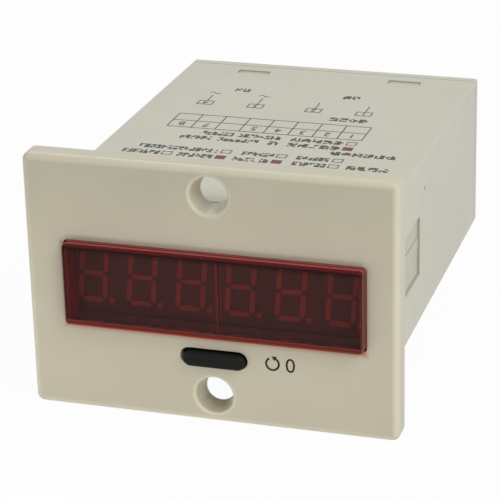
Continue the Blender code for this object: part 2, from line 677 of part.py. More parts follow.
def make_boards():
    """Display board across the front, its four screws, and the main board along the case."""
    board = box("display_board", (DISPLAY_BOARD_WIDTH, BOARD_THICK, DISPLAY_BOARD_HEIGHT),
                (0.0, DISPLAY_BOARD_Y + BOARD_THICK / 2, CASE_LIFT), "board_green", corner=BOX_CORNER)
    head_start = DISPLAY_BOARD_Y + BOARD_THICK + SEAT_GAP
    crown = BOARD_SCREW_HEAD_THICK / 3
    profile = [(0.0, BOARD_SCREW_HEAD_THICK), (BOARD_SCREW_HEAD - crown, BOARD_SCREW_HEAD_THICK)]
    profile += [(BOARD_SCREW_HEAD, BOARD_SCREW_HEAD_THICK - crown), (BOARD_SCREW_HEAD, 0.0)]
    profile += [(BOARD_SCREW_RADIUS, 0.0), (BOARD_SCREW_RADIUS, -BOARD_SCREW_LENGTH)]
    profile += [(0.0, -BOARD_SCREW_LENGTH - BOARD_SCREW_RADIUS)]
    number = 0
    for side in (-1, 1):
        for level in (-1, 1):
            number += 1
            x = side * POST_X
            z = CASE_LIFT + level * POST_Z
            cut(board, rod(f"board_bore_{number}", BOARD_SCREW_RADIUS + SEAT_GAP, 4 * BOARD_THICK,
                           (x, DISPLAY_BOARD_Y, z), sides=16))
            turned(f"board_screw_{number}", profile, (x, head_start, z), "plated_metal",
                   along="-Y", sides=16)
    box("main_board", (MAIN_BOARD_WIDTH, MAIN_BOARD_LENGTH, BOARD_THICK),
        (0.0, MAIN_BOARD_Y + MAIN_BOARD_LENGTH / 2, -MAIN_BOARD_DROP), "board_green",
        corner=BOX_CORNER, axis=2)


def make_header():
    """Row of pins from the main board to the display board."""
    housing = HEADER_PINS * PIN_PITCH
    start = MAIN_BOARD_Y + PIN_SIZE
    z = BOARD_SEAT + PIN_PITCH / 2
    header = box("pin_header", (housing, PIN_PITCH, PIN_PITCH),
                 (0.0, start + PIN_PITCH / 2, z), "black_plastic")
    bm = bmesh.new()
    tip = DISPLAY_BOARD_Y + BOARD_THICK + SEAT_GAP
    half = PIN_SIZE / 2
    outline = [(-half, -half), (-half, half), (half, half), (half, -half)]
    for pin in range(HEADER_PINS):
        x = (pin - (HEADER_PINS - 1) / 2) * PIN_PITCH
        add_prism(bm, [(x + u, z + v) for u, v in outline], tip, start + PIN_PITCH / 2)
    bmesh.ops.recalc_face_normals(bm, faces=bm.faces)
    fuse(header, add_object("header_pins", mesh_from("header_pins", bm)))


def make_transformer(x, y):
    """Core with two windows, a bobbin on its middle leg and the winding on the bobbin."""
    z = BOARD_SEAT + CORE_HEIGHT / 2
    core = box("transformer_core", (CORE_STACK, CORE_LENGTH, CORE_HEIGHT), (x, y, z), "core_steel")
    window_length = (CORE_LENGTH - 4 * CORE_LEG) / 2
    window_height = CORE_HEIGHT - 2 * CORE_LEG
    for side in (-1, 1):
        middle = y + side * (CORE_LEG + window_length / 2)
        cut(core, box(f"core_window_{side}", (2 * CORE_STACK, window_length, window_height),
                      (x, middle, z)))

    leg = (CORE_STACK + 2 * SEAT_GAP, 2 * CORE_LEG + 2 * SEAT_GAP)
    tube = (leg[0] + 2 * BOBBIN_WALL, leg[1] + 2 * BOBBIN_WALL)
    height = window_height - 2 * SEAT_GAP
    flange_x = CORE_STACK + 2 * BOBBIN_REACH
    flange_y = 2 * (CORE_LEG + window_length - SEAT_GAP)
    bobbin = box("transformer_bobbin", (tube[0], tube[1], height), (x, y, z), "bobbin_plastic")
    for level in (-1, 1):
        flange_z = z + level * (height - BOBBIN_WALL) / 2
        fuse(bobbin, box(f"flange_{level}", (flange_x, flange_y, BOBBIN_WALL), (x, y, flange_z),
                         corner=BOBBIN_WALL, axis=2))
    cut(bobbin, box("bobbin_bore", (leg[0], leg[1], 2 * height), (x, y, z)))
    winding = box("transformer_winding",
                  (flange_x - 2 * WINDING_INSET, flange_y - 2 * WINDING_INSET,
                   height - 2 * BOBBIN_WALL - 2 * SEAT_GAP),
                  (x, y, z), "copper_wire", corner=WINDING_CORNER, axis=2)
    cut(winding, box("winding_bore", (tube[0] + 2 * SEAT_GAP, tube[1] + 2 * SEAT_GAP, height), (x, y, z)))


def make_capacitor(name, radius, height, x, y):
    """Can with a crimp groove near its foot and a rounded top."""
    edge = radius / 8
    groove = height / 8
    vent = radius * 3 / 4
    profile = [(0.0, height), (vent, height), (vent + edge / 4, height - edge / 3)]
    profile += arc(radius - edge, height - edge, edge, pi / 2, 0.0, 3)
    profile += [(radius, groove + edge), (radius - edge, groove), (radius, groove - edge)]
    profile += [(radius, edge / 2), (radius - edge / 2, 0.0), (0.0, 0.0)]
    turned(name, profile, (x, y, BOARD_SEAT), "capacitor_sleeve", sides=20)


def make_chip(name, columns, x, y):
    """Chip about this many columns long, with a row of bent legs along each long side."""
    leg_pairs = round(columns * COLUMN / PIN_PITCH)
    length = leg_pairs * PIN_PITCH - PIN_PITCH / 4
    z = BOARD_SEAT + CHIP_STANDOFF + CHIP_THICK / 2
    chip = box(name, (length, CHIP_WIDTH, CHIP_THICK), (x, y, z), "black_plastic",
               corner=BOX_CORNER / 2, axis=0)
    bm = bmesh.new()
    for side in (-1, 1):
        root = side * (CHIP_WIDTH / 2 - CHIP_LEG_REACH)
        out = side * (CHIP_WIDTH / 2 + CHIP_LEG_REACH)
        inner = out - side * CHIP_LEG_THICK
        top = z + CHIP_LEG_THICK / 2
        under = z - CHIP_LEG_THICK / 2
        outline = [(root, top), (out, top), (out, BOARD_SEAT),
                   (inner, BOARD_SEAT), (inner, under), (root, under)]
        for leg in range(leg_pairs):
            leg_x = (leg - (leg_pairs - 1) / 2) * PIN_PITCH
            add_prism(bm, outline, leg_x - CHIP_LEG_WIDTH / 2, leg_x + CHIP_LEG_WIDTH / 2, axis="X")
    bmesh.ops.recalc_face_normals(bm, faces=bm.faces)
    fuse(chip, add_object(f"{name}_legs", mesh_from(f"{name}_legs", bm), None, (x, y, 0.0)))


def make_regulator(x, y):
    """Moulded body on a metal tab with a hole, on three legs."""
    body_z = BOARD_SEAT + REGULATOR_LEG + REGULATOR_BODY[2] / 2
    regulator = box("regulator", REGULATOR_BODY, (x, y, body_z), "black_plastic")
    tab_y = y + (REGULATOR_BODY[1] - REGULATOR_TAB[1]) / 2 + REGULATOR_TAB[1] / 4
    tab_z = BOARD_SEAT + REGULATOR_LEG + REGULATOR_TAB[2] / 2
    fuse(regulator, box("regulator_tab", REGULATOR_TAB, (x, tab_y, tab_z)))
    hole_z = BOARD_SEAT + REGULATOR_LEG + (REGULATOR_BODY[2] + REGULATOR_TAB[2]) / 2
    cut(regulator, rod("tab_hole", REGULATOR_WIDTH / 5, 4 * REGULATOR_TAB[1],
                       (x, tab_y, hole_z), sides=20))
    for leg in (-1, 0, 1):
        size = (PIN_SIZE, PIN_SIZE, REGULATOR_LEG + EMBED)
        at = (x + leg * PIN_PITCH, y, BOARD_SEAT + (REGULATOR_LEG + EMBED) / 2)
        fuse(regulator, box(f"regulator_leg_{leg}", size, at))


def make_resistor(name, x, y):
    """Barrel with two leads bent down to the board."""
    z = BOARD_SEAT + 2 * RESISTOR_RADIUS
    barrel = RESISTOR_RADIUS * 3 / 4
    half = RESISTOR_LENGTH / 2
    cap = RESISTOR_LENGTH / 5
    resistor = rod(name, barrel, RESISTOR_LENGTH - cap, (x, y, z), "bobbin_plastic", axis="X", sides=12)
    for side in (-1, 1):
        fuse(resistor, rod(f"{name}_cap_{side}", RESISTOR_RADIUS, cap, (x + side * (half - cap / 2), y, z),
                           axis="X", sides=12))
        lead_x = side * (half + (RESISTOR_SPAN / 2 - half) / 2)
        fuse(resistor, rod(f"{name}_lead_{side}", RESISTOR_LEAD, RESISTOR_SPAN / 2 - half + EMBED,
                           (x + lead_x, y, z), axis="X", sides=8))
        drop = z - BOARD_SEAT
        fuse(resistor, rod(f"{name}_foot_{side}", RESISTOR_LEAD, drop,
                           (x + side * RESISTOR_SPAN / 2, y, z - drop / 2), axis="Z", sides=8))


def on_grid(columns, rows):
    """Place in the power supply, as x and y."""
    return columns * COLUMN, CIRCUIT_END + rows * ROW


def make_power_supply():
    """Transformer, capacitors, rectifier and regulator at the back of the main board."""
    make_transformer(*on_grid(-13, 16))
    make_capacitor("main_capacitor", *BIG_CAPACITOR, *on_grid(10, 20))
    make_capacitor("small_capacitor", *SMALL_CAPACITOR, *on_grid(8, 7))
    box("film_capacitor", FILM_CAPACITOR, (*on_grid(22, 20), BOARD_SEAT + FILM_CAPACITOR[2] / 2),
        "film_box", corner=BOX_CORNER, axis=2)
    make_regulator(*on_grid(20, 11))
    radius, height = RECTIFIER
    rod("rectifier", radius, height, (*on_grid(20, 4), BOARD_SEAT + height / 2),
        "black_plastic", axis="Z", sides=28)


def make_counting_circuit():
    """Chips, crystal and resistors at the front of the main board."""
    small_chip_y = SECOND_ROW_Y + CHIP_REACH
    make_chip("counter_chip", 25, -12 * COLUMN, BIG_CHIP_Y)
    make_chip("driver_chip", 20, 15 * COLUMN, BIG_CHIP_Y)
    make_chip("memory_chip", 10, 6 * COLUMN, small_chip_y)
    make_chip("input_coupler", 5, -23 * COLUMN, small_chip_y)
    crystal = box_bm(CRYSTAL)
    round_edges(crystal, edges_along(crystal, 2), CRYSTAL[1] / 2 - HAIR, 6)
    add_object("crystal", mesh_from("crystal", crystal), "plated_metal",
               (-11 * COLUMN, SECOND_ROW_Y + CRYSTAL[1] / 2, BOARD_SEAT + CRYSTAL[2] / 2))
    for number in range(RESISTOR_COUNT):
        y = SECOND_ROW_Y + RESISTOR_RADIUS + number * RESISTOR_STEP
        make_resistor(f"resistor_{number + 1}", 20 * COLUMN, y)


def make_rear_cover():
    """Back plate flush with the sleeve, with an inner wall and four snap hooks."""
    cover = drafted_block("rear_cover", CASE_END - COVER_THICK, CASE_END, 0.0, CASE_CORNER,
                          "cream_plastic", COVER_CHAMFER)
    wall_inset = CASE_WALL + SEAT_GAP
    wall_end = CASE_END - COVER_THICK + EMBED
    fuse(cover, drafted_block("cover_wall", COVER_START, wall_end, wall_inset, CASE_CORNER / 2))
    hook_y = CASE_END - HOOK_BACK
    hook_half = HOOK_SLOT / 2 - SEAM_GAP
    hook_top = case_height(hook_y) / 2 - SEAM_GAP
    hook_root = case_height(hook_y, wall_inset) / 2 - EMBED
    for side in (-1, 1):
        x = HOOK_SHIFT + side * HOOK_SPACING / 2
        for level in (-1, 1):
            hook_x = (x - HOOK_WIDTH / 2 + SEAT_GAP, x + HOOK_WIDTH / 2 - SEAT_GAP)
            hook_z = sorted((CASE_LIFT + level * hook_root, CASE_LIFT + level * hook_top))
            fuse(cover, span_box(f"hook_{side}_{level}", hook_x,
                                 (hook_y - hook_half, hook_y + hook_half), hook_z))
    cut(cover, drafted_block("cover_bore", COVER_START - EMBED, CASE_END - COVER_THICK,
                             wall_inset + COVER_WALL, CASE_CORNER / 4))
    strip_width = TERMINAL_COUNT * TERMINAL_PITCH + BARRIER
    cut(cover, box("strip_opening",
                   (strip_width + 2 * SEAT_GAP, 4 * COVER_THICK, STRIP_HEIGHT + 2 * SEAT_GAP),
                   (0.0, CASE_END, CASE_LIFT)))


def make_terminal_pin(number, x, strip_front):
    """Bent pin from the strip's front down to the main board."""
    start_y = strip_front - SEAT_GAP
    bend_y = start_y - TERMINAL_PIN_REACH
    z = CASE_LIFT - TERMINAL_PIN_DROP
    bend = 2 * TERMINAL_PIN_RADIUS
    curve = bpy.data.curves.new(f"terminal_pin_{number}", "CURVE")
    curve.dimensions = "3D"
    curve.bevel_depth = TERMINAL_PIN_RADIUS
    curve.bevel_resolution = 2
    curve.use_fill_caps = True
    corner = [(bend_y + bend - bend * sin(a), z - bend + bend * cos(a))
              for a in (0.0, pi / 8, pi / 4, 3 * pi / 8, pi / 2)]
    path = [(start_y, z)] + corner + [(bend_y, BOARD_SEAT)]
    spline = curve.splines.new("POLY")
    spline.points.add(len(path) - 1)
    for point, (y, height) in zip(spline.points, path):
        point.co = (x, y, height, 1.0)
    pin = bpy.data.objects.new(f"terminal_pin_{number}", curve)
    pin.parent = FRAME
    curve.materials.append(finish_material("plated_metal"))
    PARTS.objects.link(pin)


def make_terminal_strip():
    """Barrier strip with a screw, a clamp and a tag in each bay."""
    back = CASE_END - STRIP_SET_BACK
    front = back - STRIP_DEPTH
    floor = back - BAY_DEPTH
    width = TERMINAL_COUNT * TERMINAL_PITCH + BARRIER
    strip = box("terminal_strip", (width, STRIP_DEPTH, STRIP_HEIGHT),
                (0.0, (front + back) / 2, CASE_LIFT), "black_plastic")
    bay_width = TERMINAL_PITCH - BARRIER
    bay_height = STRIP_HEIGHT - 2 * BARRIER
    tag_start = floor + SEAT_GAP
    clamp_start = tag_start + TAG_THICK + SEAT_GAP
    head_start = clamp_start + CLAMP_THICK + SEAT_GAP
    head_end = head_start + SCREW_HEAD_HEIGHT
    bore = SCREW_RADIUS + SEAT_GAP
    crown = SCREW_HEAD_HEIGHT / 3
    slot_length = 2 * (SCREW_HEAD_RADIUS - crown)
    for bay in range(TERMINAL_COUNT):
        x = (bay - (TERMINAL_COUNT - 1) / 2) * TERMINAL_PITCH
        number = bay + 1
        cut(strip, box(f"bay_{number}", (bay_width, 2 * BAY_DEPTH, bay_height), (x, back, CASE_LIFT)))
        bore_end = head_start - SCREW_LENGTH - SEAT_GAP
        cut(strip, rod(f"strip_bore_{number}", bore, floor - bore_end + EMBED,
                       (x, (floor + bore_end + EMBED) / 2, CASE_LIFT), sides=24))
        tag = box(f"terminal_tag_{number}",
                  (bay_width - 2 * SEAT_GAP, TAG_THICK, bay_height - 2 * SEAT_GAP),
                  (x, tag_start + TAG_THICK / 2, CASE_LIFT), "plated_metal")
        cut(tag, rod(f"tag_bore_{number}", bore, 4 * TAG_THICK, (x, tag_start, CASE_LIFT), sides=24))
        clamp = box(f"wire_clamp_{number}", (CLAMP_SIZE, CLAMP_THICK, CLAMP_SIZE),
                    (x, clamp_start + CLAMP_THICK / 2, CASE_LIFT), "plated_metal", corner=BOX_CORNER)
        cut(clamp, rod(f"clamp_bore_{number}", bore, 4 * CLAMP_THICK,
                       (x, clamp_start, CASE_LIFT), sides=24))
        make_terminal_pin(number, x, front)
        profile = [(0.0, SCREW_HEAD_HEIGHT), (SCREW_HEAD_RADIUS - crown, SCREW_HEAD_HEIGHT)]
        profile += arc(SCREW_HEAD_RADIUS - crown, SCREW_HEAD_HEIGHT - crown, crown, pi / 2, 0.0, 3)[1:]
        profile += [(SCREW_HEAD_RADIUS, 0.0), (SCREW_RADIUS, 0.0)]
        profile += [(SCREW_RADIUS, -SCREW_LENGTH), (0.0, -SCREW_LENGTH)]
        screw = turned(f"terminal_screw_{number}", profile, (x, head_start, CASE_LIFT),
                       "plated_metal", along="-Y", sides=20)
        for turn, across, up in (("level", slot_length, SCREW_SLOT), ("upright", SCREW_SLOT, slot_length)):
            cut(screw, box(f"slot_{turn}_{number}", (across, SCREW_HEAD_HEIGHT, up),
                           (x, head_end, CASE_LIFT)))


make_case_sleeve()
make_front_bezel()
make_lens()
make_reset_switch(make_reset_button())
make_display_modules()
make_boards()
make_header()
make_power_supply()
make_counting_circuit()
make_rear_cover()
make_terminal_strip()
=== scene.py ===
"""Looks of the panel counter: its materials and print, the studio round it and the camera."""

import json
import random
from math import cos, pi, radians, sin

import bmesh
import bpy
from mathutils import Matrix, Vector


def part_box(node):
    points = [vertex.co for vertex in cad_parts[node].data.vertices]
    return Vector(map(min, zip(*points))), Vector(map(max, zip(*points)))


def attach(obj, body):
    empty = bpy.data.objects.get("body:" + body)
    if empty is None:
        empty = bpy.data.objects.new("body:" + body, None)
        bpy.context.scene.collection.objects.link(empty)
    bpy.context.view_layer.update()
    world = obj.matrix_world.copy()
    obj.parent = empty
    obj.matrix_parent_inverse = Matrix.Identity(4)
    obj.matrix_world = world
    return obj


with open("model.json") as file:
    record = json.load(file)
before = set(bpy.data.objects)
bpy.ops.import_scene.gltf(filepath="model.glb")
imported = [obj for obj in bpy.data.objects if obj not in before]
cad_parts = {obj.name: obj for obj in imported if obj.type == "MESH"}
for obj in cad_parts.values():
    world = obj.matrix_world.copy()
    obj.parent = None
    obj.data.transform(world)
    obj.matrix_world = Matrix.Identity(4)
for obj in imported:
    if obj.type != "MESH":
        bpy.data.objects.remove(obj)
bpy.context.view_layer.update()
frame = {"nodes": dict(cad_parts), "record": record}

MM = 0.001

# Camera, fitted to the photograph's outlines: its turn about the bezel's front centre, and its
# distance and shift from there in metres
CAMERA_AZIMUTH = radians(17.666)
CAMERA_ELEVATION = radians(22.225)
CAMERA_ROLL = radians(-1.491)
CAMERA_DISTANCE = 0.41864
CAMERA_RIGHT = 0.007635
CAMERA_UP = 0.008944
CAMERA_FOCUS_PIXELS = 2234.9
PICTURE_PIXELS = 500
SENSOR_WIDTH = 36.0

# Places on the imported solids
BEZEL_LOW, BEZEL_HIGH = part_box("front_bezel")
SLEEVE_LOW, SLEEVE_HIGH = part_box("case_sleeve")
MODULE_LOW, MODULE_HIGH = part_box("display_module_left")
MODULE_END_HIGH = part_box("display_module_right")[1]
LENS_LOW, LENS_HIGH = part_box("lens")
LENS_MIDDLE = Vector(((LENS_LOW.x + LENS_HIGH.x) / 2, LENS_LOW.y, (LENS_LOW.z + LENS_HIGH.z) / 2))
BEZEL_THICK = 4.5 * MM
SLEEVE_GAP = 0.2 * MM
FRONT_FACE_Y = SLEEVE_LOW.y - SLEEVE_GAP - BEZEL_THICK
BEZEL_MIDDLE_Z = (BEZEL_LOW.z + BEZEL_HIGH.z) / 2
CASE_DRAFT = 0.55 / 85.8

# Print on the top of the case: (x, y) in millimetres from the bezel's front centre
INK_THICK = 0.03 * MM
INK_GAP = INK_THICK / 6
LINE = 0.20
TOP_TEXT_HEIGHT = 2.15
# Pitch of a letter and its columns of cells, for each kind of word
WORD_KINDS = {"wide": (2.15, 4), "narrow": (1.16, 2)}
WORD_ROWS = 4
# Shares of a letter's pitch that its cells take, of a cell that ink fills across and along, and
# of the cells that stay empty
LETTER_SHARE = 0.86
CELL_SHARE = (0.90, 0.74)
EMPTY_SHARE = 0.26
WORD_SEED = 7
# Each row: its y, then the start, end and kind of its words
ROW_WORDS = (
    (28.6, (27.5, 18.8, "wide"), (14.9, 8.0, "narrow"), (3.3, -4.1, "narrow"),
     (-8.2, -15.6, "narrow"), (-19.2, -27.0, "narrow")),
    (32.0, (14.7, 8.0, "narrow"), (3.5, -3.2, "narrow"), (-8.1, -24.7, "narrow")),
    (36.0, (27.1, 13.6, "wide")),
    (39.1, (15.0, 3.9, "wide"), (2.2, 0.0, "narrow"), (-1.9, -10.5, "narrow"),
     (-11.8, -18.5, "narrow")),
    (42.2, (14.9, 3.8, "wide"), (1.9, -7.1, "narrow"), (-8.0, -14.8, "narrow")),
    (56.4, (16.2, 8.0, "wide")),
    (70.8, (10.9, 7.1, "wide"), (-13.1, -16.8, "wide")),
)
BOX_WIDTH = 2.1
BOX_HEIGHT = 1.95
OPEN_BOXES = ((16.5, 28.6), (-17.6, 28.6), (16.5, 32.0), (5.1, 32.0), (-6.3, 32.0), (16.6, 42.2))
RED_BOXES = ((5.0, 28.6), (-6.5, 28.6), (16.6, 39.1))
TABLE_LEFT, TABLE_RIGHT = -23.1, 18.0
TABLE_FRONT, TABLE_MIDDLE, TABLE_BACK = 44.6, 48.75, 52.9
TABLE_COLUMNS = 8
TABLE_GAP_COLUMN = 5
TERMINAL_MARKS = ((14.3, "1"), (3.5, "2"), (-9.1, "3"), (-20.1, "4"))
TERMINAL_Y = 60.9
TERMINAL_BOX = (3.4, 2.5)
TERMINAL_DIGIT_SHARE = 0.68
LEAD_END_Y = 66.0
WAVE_PLACES = ((-9.1, 67.7), (-20.0, 67.6))
WAVE_LENGTH = 2.4
WAVE_SWING = 0.45
WAVE_LINE = 0.22
WAVE_STEPS = 12
# Height of a digit for each unit of the font's size
DIGIT_SHARE = 0.73

# Mark beside the reset button: (x, z) in millimetres from the bezel's front centre
RESET_ARROW = (12.1, -12.3)
RESET_RADIUS = 1.25
RESET_STROKE = 0.40
RESET_TURN = (radians(60), radians(-240))
RESET_STEPS = 28
ARROW_LENGTH = 0.9
ARROW_HALF_WIDTH = 0.55
RESET_ZERO = (15.6, -12.3)
RESET_HEIGHT = 3.0

# Plain plastics. The bezel's snap arms and the cover's hooks lie deep, and their darker colours
# are painted shade
BEZEL_COLOUR = (0.59, 0.545, 0.415)
ARM_SHADE_COLOUR = (0.50, 0.485, 0.365)
CASE_COLOUR = (0.60, 0.585, 0.480)
HOOK_SHADE_COLOUR = (0.50, 0.485, 0.35)
HOOK_LENGTH = 0.3 * MM
FARTHER_FADE = 0.3 * MM
BUTTON_COLOUR = (0.006, 0.006, 0.0055)
BLACK_COLOUR = (0.025, 0.025, 0.027)
BOBBIN_COLOUR = (0.60, 0.57, 0.50)
FILM_COLOUR = (0.55, 0.42, 0.06)
CAN_COLOUR = (0.03, 0.05, 0.16)
CAN_GRAIN_SCALE = 3000.0
# Dirt on the case's right side: millimetres back and up, radius and shade
SIDE_SPECKS = ((38.1, 10.8, 0.48, 0.15), (36.2, 8.9, 0.55, 0.92), (64.5, 12.4, 0.60, 0.90))
SPECK_FADE = (0.6, 1.2)

# Texture of the plastics: scales per metre, then the share or depth of what they change
NOISE_RANGE = (0.3, 0.7)
TONE_SCALE = 45.0
TONE_SHARE = 0.03
GLOSS_SCALE = 900.0
GLOSS_SHARE = 0.04
GRAIN_SCALE = 9000.0
GRAIN_DEPTH = 0.006 * MM

# Metals, the board and the inks: colours, scales per metre and depths
NICKEL_COLOUR = (0.72, 0.71, 0.68)
CORE_COLOUR = (0.28, 0.28, 0.30)
CORE_BRUSH = (8.0, 0.2, 0.2)
METAL_SCALE = 6000.0
METAL_DEPTH = 0.002 * MM
MASK_COLOUR = (0.012, 0.10, 0.045)
TRACK_COLOUR = (0.03, 0.17, 0.08)
TRACK_SCALE = 420.0
TRACK_DEPTH = 0.02 * MM
WIRE_LOW_COLOUR = (0.20, 0.06, 0.02)
WIRE_HIGH_COLOUR = (0.60, 0.25, 0.10)
WIRE_SCALE = 900.0
WIRE_DEPTH = 0.05 * MM
BLACK_INK_COLOUR = (0.012, 0.011, 0.009)
RED_INK_COLOUR = (0.14, 0.035, 0.04)
INK_SCALE = 2500.0

# Painted highlights on the bezel's rounded edges: the distances behind and inside its edges,
# added up, over which they fade, and the same for the mouths of its screw holes
EDGE_HIGHLIGHT_COLOUR = (0.765, 0.715, 0.545)
EDGE_HIGHLIGHT_REACH = (0.70 * MM, 1.40 * MM)
HOLE_X = 0.35 * MM
HOLE_RISE = 20.3 * MM
MOUTH_RADIUS = 3.7 * MM
MOUTH_HIGHLIGHT_REACH = (0.29 * MM, 0.75 * MM)
MOUTH_HIGHLIGHT_SHARE = 0.8

# Painted red glow and shadow that the window casts on the bezel, most of it to the left and below
RED_GLOW_SHADE_COLOUR = (0.40, 0.175, 0.12)
RED_GLOW_REACH = 1.2 * MM
RED_GLOW_SHIFT = 0.30 * MM
RED_GLOW_DROP = 0.60 * MM

# The window: half its width and height, the rims that can't be seen through, and the depths
# behind its front where the plate ends, where its back starts and where its inner walls start
LENS_SIDE = 29.5 * MM
LENS_RISE = 8.4 * MM
LENS_SIDE_RIM = 0.5 * MM
LENS_TOP_RIM = 0.8 * MM
LENS_BOTTOM_RIM = 1.35 * MM
LENS_HOLLOW_RIM = 1.05 * MM
LENS_HOLLOW_MARGIN = 0.4 * MM
LENS_FADE = 0.05 * MM
LENS_RIM_LEVELS = (0.4, 0.6)
LENS_PLATE_END = (0.5 * MM, 0.7 * MM)
LENS_BACK_START = 0.8 * MM
LENS_WALL_START = 1.3 * MM
LENS_BEND = 1.22
LENS_TINT = (0.53, 0.19, 0.18)
# Painted shade under the window's top edge, and the heights over which it comes in
LENS_PAINTED_SHADE = (0.16, 0.03, 0.02)
LENS_PAINTED_SHADE_LEVELS = (0.895, 0.952)
LENS_INNER_WALL = (0.95, 0.92, 0.92)
LENS_TONE_SCALE = 60.0
LENS_WAVE_SCALE = 150.0
LENS_WAVE_DEPTH = 0.01 * MM
# Colours of the rim's front by height, from the window's lower edge at 0 to its upper edge at 1:
# a painted orange glow at the bottom with a paler painted highlight line above it, then deep red
# that darkens into painted shade, near black, under the top edge
LENS_FRONT_GLOW_SHADE_RUN = (
    (0.0, (0.31, 0.046, 0.022)),
    (0.020, (0.29, 0.038, 0.018)),
    (0.035, (0.22, 0.026, 0.012)),
    (0.048, (0.13, 0.010, 0.005)),
    (0.060, (0.13, 0.015, 0.010)),
    (0.072, (0.16, 0.034, 0.027)),
    (0.084, (0.11, 0.022, 0.016)),
    (0.12, (0.06, 0.005, 0.003)),
    (0.88, (0.03, 0.002, 0.001)),
    (0.935, (0.010, 0.0, 0.0)),
    (0.963, (0.006, 0.0, 0.0)),
    (0.980, (0.105, 0.003, 0.004)),
)
# Painted shade on the back of the rim, by height: dark above the bottom, near black higher up
LENS_BACK_SHADE_RUN = (
    (0.10, (0.10, 0.022, 0.018)),
    (0.20, (0.02, 0.001, 0.001)),
    (0.90, (0.008, 0.0, 0.0)),
)
# Bands of the outer walls, from the front edge back to the seat: where each starts and how it
# fades in, in millimetres, then its colours at the bottom, the sides and the top. They hold a
# painted orange glow at the bottom, painted highlights on the side fillet and along the top, and
# pale painted light at the seat, where the gap lies in shade
LENS_BAND_FADE = 0.12
LENS_BANDS_AND_HIGHLIGHTS = (
    (0.10, (0.33, 0.058, 0.030), (0.166, 0.045, 0.034), (0.11, 0.006, 0.009)),
    (0.88, (0.33, 0.058, 0.030), (0.15, 0.040, 0.030), (0.44, 0.092, 0.098)),
    (1.45, (0.33, 0.058, 0.030), (0.15, 0.040, 0.030), (0.20, 0.030, 0.027)),
    (2.10, (0.90, 0.40, 0.34), (0.90, 0.36, 0.30), (0.90, 0.30, 0.26)),
)
LENS_BAND_LEVELS = (0.0, 0.10, 0.90, 0.98)

# The display behind it: how far back from a module's front its bars reach, and how its pale end
# edges fade
MODULE_FACE = (0.15, 0.31, 0.28)
SEGMENT_COLOUR = (0.46, 0.42, 0.38)
SEGMENT_RELIEF = 0.07 * MM
MODULE_EDGE = (0.45 * MM, 0.65 * MM)
MODULE_TONE_SCALE = 700.0
MODULE_GRAIN_SCALE = 5000.0
MODULE_GRAIN_DEPTH = 0.01 * MM

# Studio
FLOOR_SIZE = 6.0
FLOOR_GAP = 0.02 * MM
FLOOR_COLOUR = 0.80
FLOOR_GLOW = 0.96
WORLD_FRONT_LIGHT = 0.295
WORLD_BACK_LIGHT = 0.63
# Lamps: place, aim, width and height in metres, and power in watts
KEY_SOFTBOX = ((0.36, -0.20, 0.42), (0.0, 0.0, 0.03), 0.30, 0.30, 1.36)
BACK_SOFTBOX = ((-0.25, 0.38, 0.56), (0.0, 0.0, 0.03), 0.20, 0.20, 0.52)
LOW_STRIP = ((-0.03, -0.094, 0.004), (-0.03, 0.0, 0.004), 0.16, 0.006, 0.0148)


def empty_material(name):
    """A material with its shader and output only."""
    material = bpy.data.materials.new(name)
    material.use_nodes = True
    return material, material.node_tree.nodes["Principled BSDF"]


def add_node(material, kind, **values):
    """Add a node and set its inputs and properties by name."""
    node = material.node_tree.nodes.new(kind)
    for key, value in values.items():
        if key in node.inputs:
            node.inputs[key].default_value = value
        else:
            setattr(node, key, value)
    return node


def link(material, source, target):
    """Join an output socket to an input socket."""
    material.node_tree.links.new(source, target)


def position(material):
    """Coordinates of the surface in the counter's own frame."""
    return add_node(material, "ShaderNodeTexCoord").outputs["Object"]


def axes(material):
    """The same coordinates as three sockets."""
    parts = add_node(material, "ShaderNodeSeparateXYZ")
    link(material, position(material), parts.inputs["Vector"])
    return parts.outputs["X"], parts.outputs["Y"], parts.outputs["Z"]


def noise(material, scale, detail=2.0, stretch=None):
    """Noise of this scale, per metre, over the counter's own coordinates."""
    texture = add_node(material, "ShaderNodeTexNoise", Scale=scale, Detail=detail)
    place = position(material)
    if stretch is not None:
        mapping = add_node(material, "ShaderNodeMapping", Scale=stretch)
        link(material, place, mapping.inputs["Vector"])
        place = mapping.outputs["Vector"]
    link(material, place, texture.inputs["Vector"])
    return texture.outputs["Fac"]


def spread(material, value, low, high, low_out, high_out):
    """Map a value from one range to another."""
    node = add_node(material, "ShaderNodeMapRange")
    node.inputs["From Min"].default_value = low
    node.inputs["From Max"].default_value = high
    node.inputs["To Min"].default_value = low_out
    node.inputs["To Max"].default_value = high_out
    link(material, value, node.inputs["Value"])
    return node.outputs["Result"]


def clouds(material, scale, detail, low=0.0, high=1.0):
    """Noise that is stretched to run from a low value to a high one."""
    return spread(material, noise(material, scale, detail), *NOISE_RANGE, low, high)


def blend_colours(material, factor, first, second):
    """Mix two colours, each given as a value or as a socket."""
    node = add_node(material, "ShaderNodeMix", data_type="RGBA")
    link(material, factor, node.inputs["Factor"])
    for place, colour in ((6, first), (7, second)):
        if isinstance(colour, tuple):
            node.inputs[place].default_value = (*colour, 1.0)
        else:
            link(material, colour, node.inputs[place])
    return node.outputs[2]


def add_bump(material, shader, height, distance):
    """Raise the surface by a height value times a distance in metres."""
    bump = add_node(material, "ShaderNodeBump", Strength=1.0, Distance=distance)
    link(material, height, bump.inputs["Height"])
    link(material, bump.outputs["Normal"], shader.inputs["Normal"])


def colour_run(material, value, stops):
    """Colours at places along a value that runs from 0 to 1."""
    node = add_node(material, "ShaderNodeValToRGB")
    link(material, value, node.inputs["Fac"])
    elements = node.color_ramp.elements
    elements.remove(elements[1])
    elements[0].position = stops[0][0]
    elements[0].color = (*stops[0][1], 1.0)
    for place, colour in stops[1:]:
        elements.new(place).color = (*colour, 1.0)
    return node.outputs["Color"]


